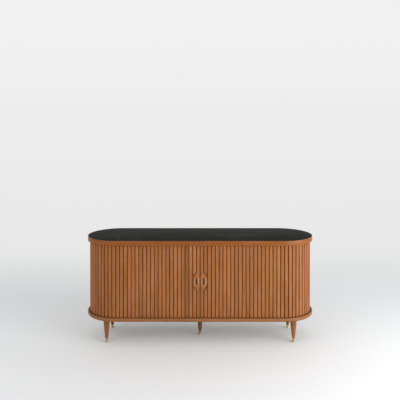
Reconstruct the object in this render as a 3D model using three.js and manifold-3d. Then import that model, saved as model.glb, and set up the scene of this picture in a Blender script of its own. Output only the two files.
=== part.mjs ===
// Tambour door cabinet: a stone-topped sideboard with round ends and two slatted curtain doors.
// Millimetres, +Z up, front at -Y. The origin lies on the floor under the middle of the cabinet.

import * as THREE from 'three';
import { mergeVertices } from 'three/addons/utils/BufferGeometryUtils.js';
import Module from 'manifold-3d';

const wasm = await Module();
wasm.setup();

// Driving dimensions of the whole cabinet.
const CABINET_LENGTH = 1800;
const CABINET_DEPTH = 508;
const CABINET_HEIGHT = 814;
const CORNER_STEPS = 30;
const SEAT = 0.3;
const OVERRUN = 5;

// The stone top, the wooden band round it and the panel that carries it.
const TOP_BAND_HEIGHT = 36;
const TOP_BAND_WALL = 4.5;
const BAND_EASE = 1.2;
const STONE_THICKNESS = 18;
const STONE_PROUD = 1;
const STONE_EASE = 0.8;

// The base: a panel with a wooden band round it.
const BASE_THICKNESS = 27;
const BASE_BAND_WALL = 7;
const BASE_LIP_EASE = 3;
const BASE_UNDER_EASE = 6;
const LEG_LENGTH = 193;

// The slats and the track that they run in. Each door's first slat is narrower by the seam shift,
// with which all the door's slats stand nearer to the middle.
const SLAT_PITCH_AIM = 29;
const TRAVEL_IN_SLATS = 7;
const DOOR_END_ANGLE = 118;
const SLAT_THICKNESS = 13;
const SLAT_GAP = 4.6;
const SEAM_SHIFT = 1.8;
const SLAT_ROUNDING = 3.2;
const SLAT_ROUND_STEPS = 1;
const SLAT_END_CLEARANCE = 0.8;
const TAMBOUR_INSET = 17;
const TRACK_DEPTH = 8;
const TENON_WIDTH = 6;
const TENON_THICKNESS = 4;
const CANVAS_THICKNESS = 1;
const CANVAS_BOND = 0.5;
const CANVAS_END_MARGIN = 3;
const CANVAS_JOINT = 1.6;

// The handles: a stepped wooden plate let into the first two slats, a metal ring and a finger slot.
const HANDLE_HEIGHT_ABOVE_FLOOR = 501;
const PLATE_HEIGHT = 132;
const PLATE_STRAIGHT = 69;
const PLATE_INLAY = 5;
const PLATE_PROUD = 0.8;
const PLATE_STEP_MARGIN = 3.4;
const PLATE_STEP_HEIGHT = 102;
const PLATE_STEP_STRAIGHT = 47;
const PLATE_STEP_RISE = 2;
const RING_MARGIN = 2.4;
const RING_HEIGHT = 70;
const RING_STRAIGHT = 40;
const RING_THICKNESS = 2.4;
const RING_WALL = 13.5;
const SLOT_HEIGHT = 50;
const SLOT_CORNER = 5;
const SLOT_DEPTH_IN_SLAT = 9;

// The fixed walls round the inside.
const SHELL_CLEARANCE = 2;
const SHELL_THICKNESS = 7;
const SHELL_START_ANGLE = 104;
const LINER_CLEARANCE = 8;
const LINER_THICKNESS = 6;
const LINER_START_ANGLE = 6;
const DIVIDER_THICKNESS = 18;
const SHELF_THICKNESS = 16;
const SHELF_HEIGHT_ABOVE_PANEL = 272;
const SHELF_SETBACK = 22;
const SHELF_END_STEPS = 9;
const CLEAT_HEIGHT = 18;
const CLEAT_DEPTH = 14;
const CLEAT_LENGTH = 260;
const CLEAT_ARC_START_ANGLE = 62;
const CLEAT_ARC_END_ANGLE = 148;
const STOP_WIDTH = 14;
const STOP_THICKNESS = 10;
const STOP_DISTANCE = 225;

// The legs: turned wood on a brass foot, held by a bolt.
const LEG_END_INSET = 170;
const LEG_SIDE_INSET = 106;
const LEG_TOP_RADIUS = 25.5;
const LEG_SHOULDER_RADIUS = 24.6;
const LEG_SHOULDER_DROP = 14;
const LEG_END_RADIUS = 10.7;
const LEG_SWELL_SHARE = 0.5;
const LEG_SWELL = 0.8;
const LEG_ROUND_STEPS = 18;
const FOOT_HEIGHT = 36;
const FOOT_BASE_RADIUS = 11.5;
const FOOT_BALL_RADIUS = 14.5;
const FOOT_BALL_HEIGHT = 8.5;
const FOOT_BALL_TOP = 17;
const FOOT_NECK_RADIUS = 8.5;
const FOOT_NECK_TOP = 24;
const FOOT_COLLAR_RADIUS = 10.7;
const FOOT_COLLAR_BOTTOM = 31;
const FOOT_STUD_RADIUS = 3;
const FOOT_STUD_LENGTH = 14;
const BOLT_RADIUS = 4;
const BOLT_IN_LEG = 30;
const BOLT_IN_BASE = 14;
const BOLT_ROUND_STEPS = 10;

// Sizes that follow from the ones above.
const BAND_RADIUS = CABINET_DEPTH / 2;
const HALF_STRAIGHT = CABINET_LENGTH / 2 - BAND_RADIUS;
const TOP_PANEL_RADIUS = BAND_RADIUS - TOP_BAND_WALL - SEAT;
const BASE_PANEL_RADIUS = BAND_RADIUS - BASE_BAND_WALL - SEAT;
const TAMBOUR_RADIUS = BAND_RADIUS - TAMBOUR_INSET;
const SLAT_BACK_RADIUS = TAMBOUR_RADIUS - SLAT_THICKNESS;
const SLATS_ON_HALF_FRONT = Math.round(HALF_STRAIGHT / SLAT_PITCH_AIM);
const SLAT_PITCH = (HALF_STRAIGHT + SEAM_SHIFT) / SLATS_ON_HALF_FRONT;
const SLAT_WIDTH = SLAT_PITCH - SLAT_GAP;
const SLAT_ANGLE = THREE.MathUtils.radToDeg(SLAT_PITCH / SLAT_BACK_RADIUS);
const SLATS_ON_ARC = Math.floor(DOOR_END_ANGLE / SLAT_ANGLE);
const LEADING_SLATS = SLATS_ON_HALF_FRONT - TRAVEL_IN_SLATS;
const CANVAS_OUTER_RADIUS = SLAT_BACK_RADIUS + CANVAS_BOND;
const CANVAS_INNER_RADIUS = SLAT_BACK_RADIUS - CANVAS_THICKNESS;
const SHELL_INNER_RADIUS = TAMBOUR_RADIUS + SHELL_CLEARANCE;
const SHELL_OUTER_RADIUS = SHELL_INNER_RADIUS + SHELL_THICKNESS;
const LINER_OUTER_RADIUS = SLAT_BACK_RADIUS - LINER_CLEARANCE;
const LINER_INNER_RADIUS = LINER_OUTER_RADIUS - LINER_THICKNESS;
const BASE_BOTTOM = LEG_LENGTH;
const BASE_TOP = BASE_BOTTOM + BASE_THICKNESS;
const TOP_BAND_TOP = CABINET_HEIGHT - STONE_PROUD;
const TOP_BOTTOM = TOP_BAND_TOP - TOP_BAND_HEIGHT;
const STONE_BOTTOM = CABINET_HEIGHT - STONE_THICKNESS;
const TOP_PANEL_TOP = STONE_BOTTOM - SEAT;
const WALL_BOTTOM = BASE_TOP + SEAT;
const WALL_HEIGHT = TOP_BOTTOM - SEAT - WALL_BOTTOM;
const PLATE_WIDTH = 2 * SLAT_PITCH - SLAT_GAP;
const PLATE_STEP_WIDTH = PLATE_WIDTH - 2 * PLATE_STEP_MARGIN;
const RING_WIDTH = PLATE_STEP_WIDTH - 2 * RING_MARGIN;
const SLOT_WIDTH = RING_WIDTH - 2 * RING_WALL;
const SHELF_TOP = BASE_TOP + SHELF_HEIGHT_ABOVE_PANEL;
const SHELF_BOTTOM = SHELF_TOP - SHELF_THICKNESS;
const SHELF_END_RADIUS = LINER_INNER_RADIUS - SEAT;
const DIVIDER_HALF = DIVIDER_THICKNESS / 2;
const LEG_X = CABINET_LENGTH / 2 - LEG_END_INSET;
const LEG_Y = CABINET_DEPTH / 2 - LEG_SIDE_INSET;
const LEG_TOP = LEG_LENGTH - SEAT;
const LEG_END = FOOT_HEIGHT + SEAT;

// Turns in radians, and the angle at the back of an end, measured in degrees from its front.
const QUARTER_TURN = Math.PI / 2;
const BACK_ANGLE = 180;
const finish = (color, roughness, metalness) =>
  new THREE.MeshStandardMaterial({ color, roughness, metalness });
const SLAT_WOOD = finish(0x95602f, 0.5, 0);
const BAND_WOOD = finish(0x9a6238, 0.45, 0);
const INNER_WOOD = finish(0x8a6a45, 0.6, 0);
const STONE = finish(0x2c2c2b, 0.35, 0);
const BRASS = finish(0xb59a5e, 0.3, 1);
const STEEL = finish(0x8f9296, 0.4, 1);

const cabinet = new THREE.Group();

function addPiece(name, geometry, material) {
  const mesh = new THREE.Mesh(geometry, material);
  mesh.name = name;
  cabinet.add(mesh);
  return mesh;
}

// Turns a closed geometry into a solid for cutting and joining, and back.
function toSolid(geometry) {
  const bare = geometry.clone();
  bare.deleteAttribute('normal');
  bare.deleteAttribute('uv');
  const merged = mergeVertices(bare);
  const vertProperties = new Float32Array(merged.attributes.position.array);
  const triVerts = new Uint32Array(merged.index.array);
  return new wasm.Manifold(new wasm.Mesh({ numProp: 3, vertProperties, triVerts }));
}

function toGeometry(solid) {
  const mesh = solid.getMesh();
  const geometry = new THREE.BufferGeometry();
  geometry.setAttribute('position', new THREE.BufferAttribute(new Float32Array(mesh.vertProperties), 3));
  geometry.setIndex(new THREE.BufferAttribute(new Uint32Array(mesh.triVerts), 1));
  return geometry;
}

function cut(geometry, tools) {
  let solid = toSolid(geometry);
  for (const tool of tools) solid = solid.subtract(toSolid(tool));
  return toGeometry(solid);
}

function join(geometries) {
  let solid = toSolid(geometries[0]);
  for (const other of geometries.slice(1)) solid = solid.add(toSolid(other));
  return toGeometry(solid);
}

function box(low, high) {
  const size = high.map((value, axis) => value - low[axis]);
  const middle = high.map((value, axis) => (value + low[axis]) / 2);
  return new THREE.BoxGeometry(...size).translate(...middle);
}

// Stations round the plan of the cabinet: a centre on the long axis and an outward direction.
// The angle is measured from the front of each end, 0, round to the back, 180 degrees.
function endStations(side, fromAngle, toAngle) {
  const stations = [];
  const steps = Math.ceil((CORNER_STEPS * Math.abs(toAngle - fromAngle)) / BACK_ANGLE);
  for (let step = 0; step <= steps; step += 1) {
    const angle = fromAngle + ((toAngle - fromAngle) * step) / steps;
    const turn = THREE.MathUtils.degToRad(angle) - QUARTER_TURN;
    stations.push({ x: side * HALF_STRAIGHT, nx: side * Math.cos(turn), ny: Math.sin(turn) });
  }
  return stations;
}

// Sweeps a section, given as [radius, height] points, along the stations. The stations run
// anticlockwise seen from above, and the section runs anticlockwise seen with the radius to the right.
function sweep(section, stations, closed) {
  const positions = [];
  const indices = [];
  const count = section.length;
  for (const station of stations) {
    for (const [radius, height] of section) {
      positions.push(station.x + radius * station.nx, radius * station.ny, height);
    }
  }
  const spans = closed ? stations.length : stations.length - 1;
  for (let span = 0; span < spans; span += 1) {
    const here = span * count;
    const next = ((span + 1) % stations.length) * count;
    for (let point = 0; point < count; point += 1) {
      const after = (point + 1) % count;
      indices.push(here + point, next + point, next + after);
      indices.push(here + point, next + after, here + after);
    }
  }
  if (!closed) {
    const outline = section.map(([radius, height]) => new THREE.Vector2(radius, height));
    const last = (stations.length - 1) * count;
    for (const [first, second, third] of THREE.ShapeUtils.triangulateShape(outline, [])) {
      indices.push(first, second, third);
      indices.push(last + third, last + second, last + first);
    }
  }
  const geometry = new THREE.BufferGeometry();
  geometry.setAttribute('position', new THREE.Float32BufferAttribute(positions, 3));
  geometry.setIndex(indices);
  return geometry;
}

function rectangle(innerRadius, outerRadius, low, high) {
  return [[innerRadius, low], [outerRadius, low], [outerRadius, high], [innerRadius, high]];
}

function wholeLoop() {
  return [...endStations(1, 0, BACK_ANGLE), ...endStations(-1, BACK_ANGLE, 0)];
}

// A plan outline with round ends, as a slab of a given thickness. Its ends have as many facets as
// the swept pieces, because an arc in a shape gets two facets for each of its curve segments.
function slab(radius, low, thickness) {
  const outline = new THREE.Shape();
  outline.moveTo(-HALF_STRAIGHT, -radius);
  outline.lineTo(HALF_STRAIGHT, -radius);
  outline.absarc(HALF_STRAIGHT, 0, radius, -QUARTER_TURN, QUARTER_TURN, false);
  outline.lineTo(-HALF_STRAIGHT, radius);
  outline.absarc(-HALF_STRAIGHT, 0, radius, QUARTER_TURN, 3 * QUARTER_TURN, false);
  const options = { depth: thickness, bevelEnabled: false, curveSegments: CORNER_STEPS / 2 };
  return new THREE.ExtrudeGeometry(outline, options).translate(0, 0, low);
}

function trackCut(low, high) {
  return sweep(rectangle(SLAT_BACK_RADIUS, TAMBOUR_RADIUS, low, high), wholeLoop(), true);
}

function buildTop() {
  const outer = BAND_RADIUS;
  const inner = outer - TOP_BAND_WALL;
  const band = [
    [inner, TOP_BOTTOM],
    [outer - BAND_EASE, TOP_BOTTOM],
    [outer, TOP_BOTTOM + BAND_EASE],
    [outer, TOP_BAND_TOP - BAND_EASE],
    [outer - BAND_EASE, TOP_BAND_TOP],
    [inner, TOP_BAND_TOP],
  ];
  addPiece('top_band', sweep(band, wholeLoop(), true), BAND_WOOD);
  const panel = slab(TOP_PANEL_RADIUS, TOP_BOTTOM, TOP_PANEL_TOP - TOP_BOTTOM);
  const track = trackCut(TOP_BOTTOM - OVERRUN, TOP_BOTTOM + TRACK_DEPTH);
  addPiece('top_panel', cut(panel, [track]), INNER_WOOD);
  const body = slab(TOP_PANEL_RADIUS, STONE_BOTTOM, STONE_THICKNESS - STONE_EASE);
  const ease = slab(TOP_PANEL_RADIUS - STONE_EASE, STONE_BOTTOM, STONE_THICKNESS);
  addPiece('stone_top', join([body, ease]), STONE);
}

function legPlaces() {
  return [
    ['front_left', -LEG_X, -LEG_Y],
    ['front_right', LEG_X, -LEG_Y],
    ['rear_left', -LEG_X, LEG_Y],
    ['rear_right', LEG_X, LEG_Y],
    ['centre', 0, 0],
  ];
}

function rod(radius, low, high, x, y) {
  const length = high - low;
  const cylinder = new THREE.CylinderGeometry(radius, radius, length, BOLT_ROUND_STEPS);
  return cylinder.rotateX(QUARTER_TURN).translate(x, y, low + length / 2);
}

function buildBase() {
  const outer = BAND_RADIUS;
  const inner = outer - BASE_BAND_WALL;
  const band = [
    [inner, BASE_BOTTOM],
    [outer - BASE_UNDER_EASE, BASE_BOTTOM],
    [outer, BASE_BOTTOM + BASE_UNDER_EASE],
    [outer, BASE_TOP - BASE_LIP_EASE],
    [outer - BASE_LIP_EASE, BASE_TOP],
    [inner, BASE_TOP],
  ];
  addPiece('base_band', sweep(band, wholeLoop(), true), BAND_WOOD);
  const panel = slab(BASE_PANEL_RADIUS, BASE_BOTTOM, BASE_THICKNESS);
  const cuts = [trackCut(BASE_TOP - TRACK_DEPTH, BASE_TOP + OVERRUN)];
  for (const [, x, y] of legPlaces()) {
    const holeTop = BASE_BOTTOM + BOLT_IN_BASE + SEAT;
    cuts.push(rod(BOLT_RADIUS + SEAT, BASE_BOTTOM - OVERRUN, holeTop, x, y));
  }
  addPiece('base_panel', cut(panel, cuts), INNER_WOOD);
}

function lathe(points) {
  const profile = points.map(([radius, height]) => new THREE.Vector2(radius, height));
  return new THREE.LatheGeometry(profile, LEG_ROUND_STEPS).rotateX(QUARTER_TURN);
}

function legGeometry() {
  const holeTop = FOOT_HEIGHT + FOOT_STUD_LENGTH + SEAT;
  const boltHole = BOLT_RADIUS + SEAT;
  const boltBottom = LEG_TOP - BOLT_IN_LEG - SEAT;
  const shoulder = LEG_TOP - LEG_SHOULDER_DROP;
  const swellHeight = LEG_END + (shoulder - LEG_END) * LEG_SWELL_SHARE;
  const swellRadius = LEG_END_RADIUS + (LEG_SHOULDER_RADIUS - LEG_END_RADIUS) * LEG_SWELL_SHARE;
  return lathe([
    [0, holeTop],
    [FOOT_STUD_RADIUS + SEAT, holeTop],
    [FOOT_STUD_RADIUS + SEAT, LEG_END],
    [LEG_END_RADIUS, LEG_END],
    [swellRadius + LEG_SWELL, swellHeight],
    [LEG_SHOULDER_RADIUS, shoulder],
    [LEG_TOP_RADIUS, LEG_TOP],
    [boltHole, LEG_TOP],
    [boltHole, boltBottom],
    [0, boltBottom],
  ]);
}

function footGeometry() {
  return lathe([
    [0, 0],
    [FOOT_BASE_RADIUS, 0],
    [FOOT_BALL_RADIUS, FOOT_BALL_HEIGHT],
    [FOOT_NECK_RADIUS, FOOT_BALL_TOP],
    [FOOT_NECK_RADIUS, FOOT_NECK_TOP],
    [FOOT_COLLAR_RADIUS, FOOT_COLLAR_BOTTOM],
    [FOOT_COLLAR_RADIUS, FOOT_HEIGHT],
    [FOOT_STUD_RADIUS, FOOT_HEIGHT],
    [FOOT_STUD_RADIUS, FOOT_HEIGHT + FOOT_STUD_LENGTH],
    [0, FOOT_HEIGHT + FOOT_STUD_LENGTH],
  ]);
}

function buildLegs() {
  for (const [place, x, y] of legPlaces()) {
    addPiece(`${place}_leg`, legGeometry(), BAND_WOOD).position.set(x, y, 0);
    addPiece(`${place}_foot`, footGeometry(), BRASS).position.set(x, y, 0);
    const bolt = rod(BOLT_RADIUS, LEG_TOP - BOLT_IN_LEG, BASE_BOTTOM + BOLT_IN_BASE, 0, 0);
    addPiece(`${place}_leg_bolt`, bolt, STEEL).position.set(x, y, 0);
  }
}

function buildWalls() {
  const low = WALL_BOTTOM;
  const high = WALL_BOTTOM + WALL_HEIGHT;
  const shell = rectangle(SHELL_INNER_RADIUS, SHELL_OUTER_RADIUS, low, high);
  const shellRoute = [
    ...endStations(1, SHELL_START_ANGLE, BACK_ANGLE),
    ...endStations(-1, BACK_ANGLE, SHELL_START_ANGLE),
  ];
  addPiece('back_shell', sweep(shell, shellRoute, false), INNER_WOOD);
  const liner = rectangle(LINER_INNER_RADIUS, LINER_OUTER_RADIUS, low, high);
  const rightLiner = sweep(liner, endStations(1, LINER_START_ANGLE, BACK_ANGLE), false);
  const leftLiner = sweep(liner, endStations(-1, BACK_ANGLE, LINER_START_ANGLE), false);
  addPiece('right_end_liner', rightLiner, INNER_WOOD);
  addPiece('left_end_liner', leftLiner, INNER_WOOD);
  const reach = HALF_STRAIGHT - SEAT;
  const backPanel = box([-reach, LINER_INNER_RADIUS, low], [reach, LINER_OUTER_RADIUS, high]);
  addPiece('inner_back_panel', backPanel, INNER_WOOD);
  const depth = LINER_INNER_RADIUS - SEAT;
  const divider = box([-DIVIDER_HALF, -LINER_OUTER_RADIUS, low], [DIVIDER_HALF, depth, high]);
  addPiece('centre_divider', divider, INNER_WOOD);
}

function shelfGeometry(side) {
  const front = SHELF_SETBACK - SHELF_END_RADIUS;
  const reach = Math.sqrt(SHELF_END_RADIUS ** 2 - front ** 2);
  const start = Math.atan2(front, reach);
  const outline = new THREE.Shape();
  outline.moveTo(DIVIDER_HALF + SEAT, front);
  outline.lineTo(HALF_STRAIGHT + reach, front);
  outline.absarc(HALF_STRAIGHT, 0, SHELF_END_RADIUS, start, QUARTER_TURN, false);
  outline.lineTo(DIVIDER_HALF + SEAT, SHELF_END_RADIUS);
  const options = { depth: SHELF_THICKNESS, bevelEnabled: false, curveSegments: SHELF_END_STEPS };
  const shelf = new THREE.ExtrudeGeometry(outline, options).translate(0, 0, SHELF_BOTTOM);
  return side > 0 ? shelf : mirrored(shelf);
}

// A mirror image across the middle plane, with its faces still pointing out.
function mirrored(geometry) {
  const copy = toGeometry(toSolid(geometry));
  copy.scale(-1, 1, 1);
  const index = copy.index.array;
  for (let face = 0; face < index.length; face += 3) {
    [index[face], index[face + 1]] = [index[face + 1], index[face]];
  }
  return copy;
}

function buildShelves() {
  const top = SHELF_BOTTOM - SEAT;
  const low = top - CLEAT_HEIGHT;
  for (const [name, side] of [['left', -1], ['right', 1]]) {
    addPiece(`${name}_shelf`, shelfGeometry(side), INNER_WOOD);
    const inner = DIVIDER_HALF + SEAT;
    const batten = box([inner, -CLEAT_LENGTH / 2, low], [inner + CLEAT_DEPTH, CLEAT_LENGTH / 2, top]);
    addPiece(`${name}_divider_cleat`, side > 0 ? batten : mirrored(batten), INNER_WOOD);
    const section = rectangle(SHELF_END_RADIUS - CLEAT_DEPTH, SHELF_END_RADIUS, low, top);
    const stations = endStations(1, CLEAT_ARC_START_ANGLE, CLEAT_ARC_END_ANGLE);
    const curved = sweep(section, stations, false);
    addPiece(`${name}_end_cleat`, side > 0 ? curved : mirrored(curved), INNER_WOOD);
  }
}

// One slat standing on its track, with its back face on the plane y = 0 and its middle at x = 0.
function slatGeometry() {
  const half = SLAT_WIDTH / 2;
  const centre = half - SLAT_ROUNDING;
  const start = SLAT_ROUNDING - SLAT_THICKNESS;
  const outline = new THREE.Shape();
  outline.moveTo(half, 0);
  outline.lineTo(-half, 0);
  outline.lineTo(-half, start);
  outline.absarc(-centre, start, SLAT_ROUNDING, Math.PI, 3 * QUARTER_TURN, false);
  outline.lineTo(centre, -SLAT_THICKNESS);
  outline.absarc(centre, start, SLAT_ROUNDING, -QUARTER_TURN, 0, false);
  const low = BASE_TOP + SLAT_END_CLEARANCE;
  const high = TOP_BOTTOM - SLAT_END_CLEARANCE;
  const options = { depth: high - low, bevelEnabled: false, curveSegments: SLAT_ROUND_STEPS };
  const body = new THREE.ExtrudeGeometry(outline, options).translate(0, 0, low);
  const tenonFront = -(SLAT_THICKNESS + TENON_THICKNESS) / 2;
  const tenonBack = tenonFront + TENON_THICKNESS;
  const tenonLow = BASE_TOP - TRACK_DEPTH + SEAT;
  const tenonHigh = TOP_BOTTOM + TRACK_DEPTH - SEAT;
  const reach = TENON_WIDTH / 2;
  const tenon = box([-reach, tenonFront, tenonLow], [reach, tenonBack, tenonHigh]);
  return join([body, tenon]);
}

const SLAT = slatGeometry();

// The slat that stands in a given place, counted from the middle of the front: on the straight
// up to SLATS_ON_HALF_FRONT, and past that round the end.
function slatInPlace(number) {
  if (number <= SLATS_ON_HALF_FRONT) {
    const place = (number - 1 / 2) * SLAT_PITCH - SEAM_SHIFT;
    return SLAT.clone().translate(place, -SLAT_BACK_RADIUS, 0);
  }
  const angle = THREE.MathUtils.degToRad((number - SLATS_ON_HALF_FRONT - 1 / 2) * SLAT_ANGLE);
  return SLAT.clone().translate(0, -SLAT_BACK_RADIUS, 0).rotateZ(angle).translate(HALF_STRAIGHT, 0, 0);
}

// An upright six-sided outline with points above and below, in the plane of the door.
function pointedOutline(width, height, straight) {
  return [
    [-width / 2, -straight / 2],
    [0, -height / 2],
    [width / 2, -straight / 2],
    [width / 2, straight / 2],
    [0, height / 2],
    [-width / 2, straight / 2],
  ];
}

// An outline drawn in the plane of the door, made solid from one distance in front of the
// slats to another, centred on the line between the first two slats.
function doorPlate(points, near, far) {
  const outline = new THREE.Shape(points.map(([x, z]) => new THREE.Vector2(x, z)));
  const plate = new THREE.ExtrudeGeometry(outline, { depth: far - near, bevelEnabled: false });
  const middle = SLAT_PITCH - SEAM_SHIFT;
  const front = -TAMBOUR_RADIUS - near;
  return plate.rotateX(QUARTER_TURN).translate(middle, front, HANDLE_HEIGHT_ABOVE_FLOOR);
}

function slotOutline() {
  const halfWidth = SLOT_WIDTH / 2;
  const halfHeight = SLOT_HEIGHT / 2;
  return [
    [-halfWidth, -halfHeight + SLOT_CORNER],
    [-halfWidth + SLOT_CORNER, -halfHeight],
    [halfWidth - SLOT_CORNER, -halfHeight],
    [halfWidth, -halfHeight + SLOT_CORNER],
    [halfWidth, halfHeight - SLOT_CORNER],
    [halfWidth - SLOT_CORNER, halfHeight],
    [-halfWidth + SLOT_CORNER, halfHeight],
    [-halfWidth, halfHeight - SLOT_CORNER],
  ];
}

// The recess for the plate: close round it in the first slat, a slat's gap off it in the second.
function recessOutline() {
  const slope = (PLATE_HEIGHT - PLATE_STRAIGHT) / PLATE_WIDTH;
  const stretch = Math.sqrt(1 + slope ** 2);
  const edge = (x, gap) => PLATE_HEIGHT / 2 + gap * stretch - slope * x;
  const reach = PLATE_WIDTH / 2 + SEAT;
  const upper = [
    [reach, edge(reach, SLAT_GAP)],
    [0, edge(0, SLAT_GAP)],
    [0, edge(0, SEAT)],
    [-reach, edge(reach, SEAT)],
  ];
  const lower = upper.map(([x, z]) => [x, -z]).reverse();
  return [...upper, ...lower];
}

// The part of the first slat and its plate that is cut away, so that the doors meet at a slat's gap.
function seamCut() {
  const low = [-OVERRUN, -BAND_RADIUS, BASE_BOTTOM];
  return box(low, [SLAT_GAP / 2, -SLAT_BACK_RADIUS, CABINET_HEIGHT]);
}

function handlePieces() {
  const slot = doorPlate(slotOutline(), -SLOT_DEPTH_IN_SLAT, TAMBOUR_INSET);
  const recess = doorPlate(recessOutline(), -PLATE_INLAY, TAMBOUR_INSET);
  const near = SEAT - PLATE_INLAY;
  const middle = PLATE_PROUD;
  const far = middle + PLATE_STEP_RISE;
  const base = doorPlate(pointedOutline(PLATE_WIDTH, PLATE_HEIGHT, PLATE_STRAIGHT), near, middle);
  const stepPoints = pointedOutline(PLATE_STEP_WIDTH, PLATE_STEP_HEIGHT, PLATE_STEP_STRAIGHT);
  const step = doorPlate(stepPoints, near, far);
  const seam = seamCut();
  const plate = cut(join([base, step]), [slot, seam]);
  const ringPoints = pointedOutline(RING_WIDTH, RING_HEIGHT, RING_STRAIGHT);
  const ring = cut(doorPlate(ringPoints, far + SEAT, far + SEAT + RING_THICKNESS), [slot]);
  return { cutters: [slot, recess, seam], plate, ring };
}

// The canvas glued to the backs of slats that stand on the straight.
function straightCanvas(fromSlat, toSlat) {
  const low = BASE_TOP + CANVAS_END_MARGIN;
  const high = TOP_BOTTOM - CANVAS_END_MARGIN;
  const start = Math.max((fromSlat - 1) * SLAT_PITCH - SEAM_SHIFT, 0) + CANVAS_JOINT / 2;
  const end = toSlat * SLAT_PITCH - SEAM_SHIFT - CANVAS_JOINT / 2;
  return box([start, -CANVAS_OUTER_RADIUS, low], [end, -CANVAS_INNER_RADIUS, high]);
}

// The canvas glued to the backs of the slats that stand round the end.
function bentCanvas() {
  const low = BASE_TOP + CANVAS_END_MARGIN;
  const high = TOP_BOTTOM - CANVAS_END_MARGIN;
  const section = rectangle(CANVAS_INNER_RADIUS, CANVAS_OUTER_RADIUS, low, high);
  const margin = THREE.MathUtils.radToDeg(CANVAS_JOINT / 2 / SLAT_BACK_RADIUS);
  const span = SLATS_ON_ARC * SLAT_ANGLE;
  return sweep(section, endStations(1, margin, span - margin), false);
}

function slatPanel(fromSlat, toSlat, canvas, cutters) {
  const pieces = [canvas];
  for (let number = fromSlat; number <= toSlat; number += 1) {
    pieces.push(slatInPlace(number));
  }
  return cut(join(pieces), cutters);
}

function doorStop() {
  const near = (SLAT_BACK_RADIUS + TAMBOUR_RADIUS - STOP_THICKNESS) / 2;
  const low = BASE_TOP - TRACK_DEPTH + SEAT;
  const high = TOP_BOTTOM + TRACK_DEPTH - SEAT;
  return box([STOP_DISTANCE, near, low], [STOP_DISTANCE + STOP_WIDTH, near + STOP_THICKNESS, high]);
}

function buildDoor(name, side) {
  const place = (geometry) => (side > 0 ? geometry : mirrored(geometry));
  const { cutters, plate, ring } = handlePieces();
  const front = slatPanel(1, LEADING_SLATS, straightCanvas(1, LEADING_SLATS), cutters);
  addPiece(`${name}_door_front_panel`, place(front), SLAT_WOOD);
  for (let number = LEADING_SLATS + 1; number <= SLATS_ON_HALF_FRONT; number += 1) {
    const label = String(number - LEADING_SLATS);
    const slat = slatPanel(number, number, straightCanvas(number, number), []);
    addPiece(`${name}_door_bend_slat_${label}`, place(slat), SLAT_WOOD);
  }
  const end = slatPanel(
    SLATS_ON_HALF_FRONT + 1,
    SLATS_ON_HALF_FRONT + SLATS_ON_ARC,
    bentCanvas(),
    [],
  );
  addPiece(`${name}_door_end_panel`, place(end), SLAT_WOOD);
  addPiece(`${name}_handle_plate`, place(plate), BAND_WOOD);
  addPiece(`${name}_handle_ring`, place(ring), BRASS);
  addPiece(`${name}_door_stop`, place(doorStop()), INNER_WOOD);
}

buildTop();
buildBase();
buildLegs();
buildWalls();
buildShelves();
buildDoor('left', -1);
buildDoor('right', 1);

export default cabinet;
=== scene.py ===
"""The looks of the tambour door cabinet: its fine pieces and finishes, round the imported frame.

Metres, +Z up, front at -Y. The origin lies on the floor under the middle of the cabinet.
"""

import logging
import math
import random
from collections.abc import Callable, Iterator, Sequence
from contextlib import contextmanager
from dataclasses import dataclass
from enum import Enum
from itertools import pairwise

import bmesh
import bpy
from mathutils import Matrix, Vector


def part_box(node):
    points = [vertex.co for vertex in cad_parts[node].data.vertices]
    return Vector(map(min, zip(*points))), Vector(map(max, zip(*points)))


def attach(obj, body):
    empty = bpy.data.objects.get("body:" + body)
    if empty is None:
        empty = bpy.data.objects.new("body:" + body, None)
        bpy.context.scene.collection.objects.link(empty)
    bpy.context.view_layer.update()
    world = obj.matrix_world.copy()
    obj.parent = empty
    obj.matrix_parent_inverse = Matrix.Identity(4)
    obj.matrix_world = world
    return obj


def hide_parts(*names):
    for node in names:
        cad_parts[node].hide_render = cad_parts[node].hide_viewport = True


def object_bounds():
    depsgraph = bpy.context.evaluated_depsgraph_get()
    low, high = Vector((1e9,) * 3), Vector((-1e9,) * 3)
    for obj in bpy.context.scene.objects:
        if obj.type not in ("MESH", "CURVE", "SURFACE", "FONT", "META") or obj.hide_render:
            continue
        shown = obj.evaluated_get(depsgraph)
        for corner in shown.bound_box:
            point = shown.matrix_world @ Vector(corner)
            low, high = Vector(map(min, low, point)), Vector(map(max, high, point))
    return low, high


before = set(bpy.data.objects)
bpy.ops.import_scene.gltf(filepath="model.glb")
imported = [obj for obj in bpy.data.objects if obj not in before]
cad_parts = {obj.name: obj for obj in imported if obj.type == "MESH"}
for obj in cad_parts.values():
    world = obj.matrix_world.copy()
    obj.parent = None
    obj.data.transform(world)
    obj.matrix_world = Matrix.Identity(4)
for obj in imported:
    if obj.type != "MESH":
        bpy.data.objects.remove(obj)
CAD_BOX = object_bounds()
LOG = logging.getLogger("cabinet")

Colour = tuple[float, float, float, float]
Place = tuple[float, float, float]
Span = tuple[float, float]
Test = Callable[[Vector], bool]
Inputs = dict[str | int, object]

SIDES = (("left", -1), ("right", 1))
SLAT_SEED = 93517
QUARTER_TURN = math.pi / 2
HALF_TURN = math.pi
SMOOTH = math.radians(30)  # edges flatter than this are shaded smooth
FLAT = math.radians(1)  # faces that meet flatter than this are one
NOISE_SPAN = (0.3, 0.7)  # where nearly all of a noise lies
HALF_WAY = 0.5  # the middle of a noise, and the hue that changes nothing
MIX_SHARE, MIX_FIRST, MIX_SECOND, MIX_RESULT = 0, 6, 7, 2  # sockets that mix colours
CLOSE = 1e-5  # places nearer than this are one
FACET_PLAY = 1e-4  # how far the reach of a rounded end may be off
SEAT = 0.0003  # play round a piece that is let in
SLOT_DEPTH = 0.009  # how far the finger slots go into the slats
TOOL_REACH = 0.009  # how far a cutting shape stands out in front


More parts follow.
